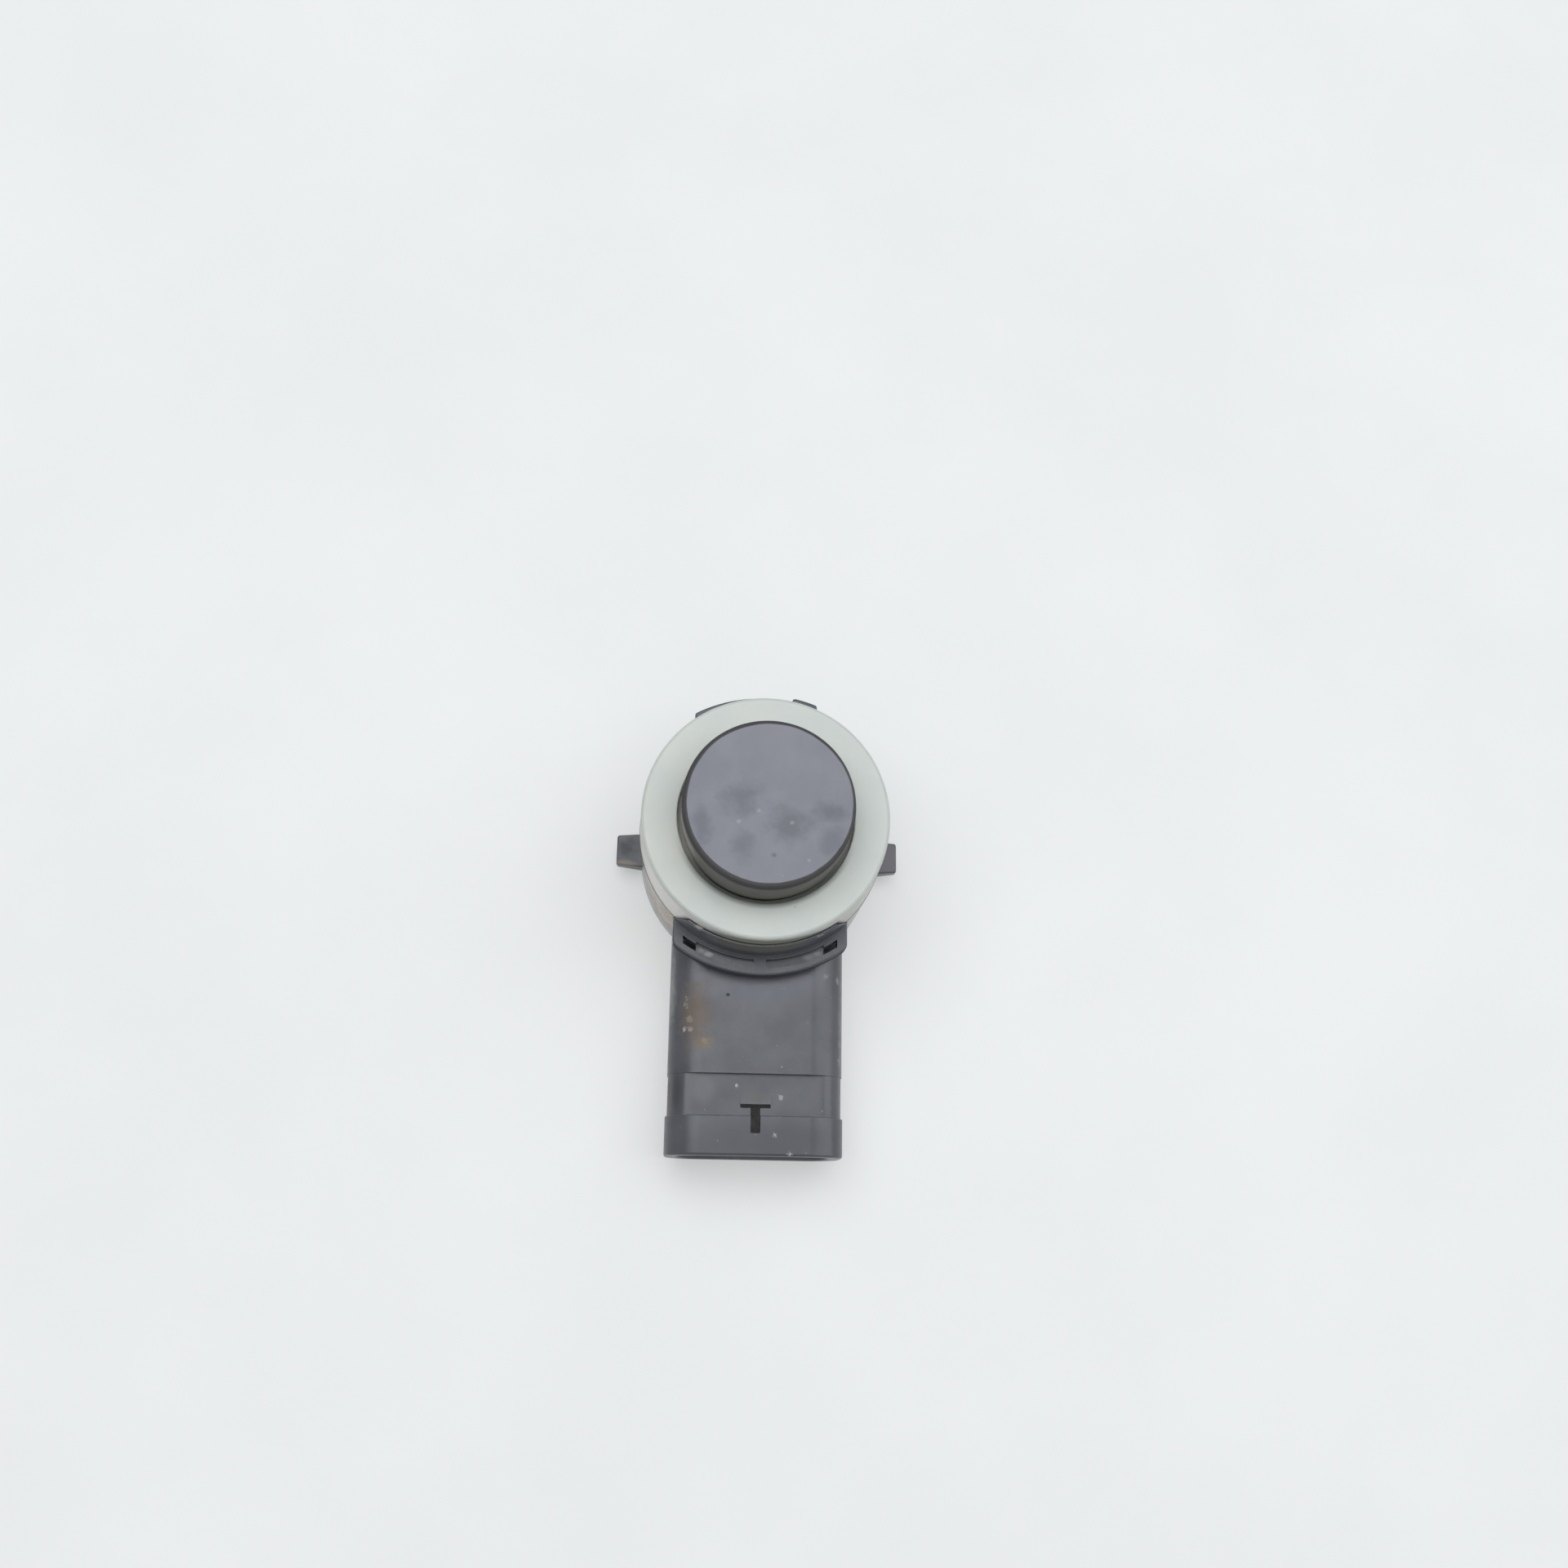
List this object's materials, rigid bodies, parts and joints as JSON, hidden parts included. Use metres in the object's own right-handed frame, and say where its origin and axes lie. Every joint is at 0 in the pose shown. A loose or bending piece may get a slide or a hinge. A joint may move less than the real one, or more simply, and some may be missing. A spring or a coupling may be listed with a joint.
{
  "type": "ultrasonic parking sensor",
  "caption": "Ultrasonic parking sensor: round painted membrane in a pale soft ring on a black barrel with side latches, a slotted flange and a pinned plug socket.",
  "frame": {"origin": "on the head's axis, at the back face of the barrel", "axes": "+Z along the head's axis, out of the membrane; the plug socket opens along -Y"},
  "size_m": [0.028, 0.0435, 0.022],
  "materials": {
    "housing_plastic": "moulded satin, scuffed, with dried dirt",
    "cover_plastic": "moulded matt",
    "ring_silicone": "pale translucent silicone, grimy at its foot",
    "membrane_paint": "satin paint with smudges",
    "piezo_ceramic": "silvered ceramic",
    "pad_foam": "closed-cell foam",
    "lead_copper": "bare copper",
    "board_laminate": "solder mask",
    "chip_resin": "moulded resin",
    "ferrite": "sintered",
    "winding_copper": "enamelled wire",
    "capacitor_body": "moulded resin",
    "capacitor_ceramic": "fired",
    "terminal_tin": "tinned brass"
  },
  "bodies": {
    "root": {"housing": "housing_plastic", "rear_cover": "cover_plastic", "decoupling_ring": "ring_silicone", "membrane_cup": "membrane_paint", "piezo_disc": "piezo_ceramic", "damping_pad": "pad_foam", "signal_lead": "lead_copper", "ground_lead": "lead_copper", "circuit_board": "board_laminate", "control_chip": "chip_resin", "transformer_base": "chip_resin", "transformer_core": "ferrite", "transformer_winding": "winding_copper", "storage_capacitor": "capacitor_body", "filter_capacitors": "capacitor_ceramic", "resistors": "chip_resin", "protection_diode": "chip_resin", "supply_terminal": "terminal_tin", "signal_terminal": "terminal_tin", "ground_terminal": "terminal_tin"}
  },
  "joints": []
}
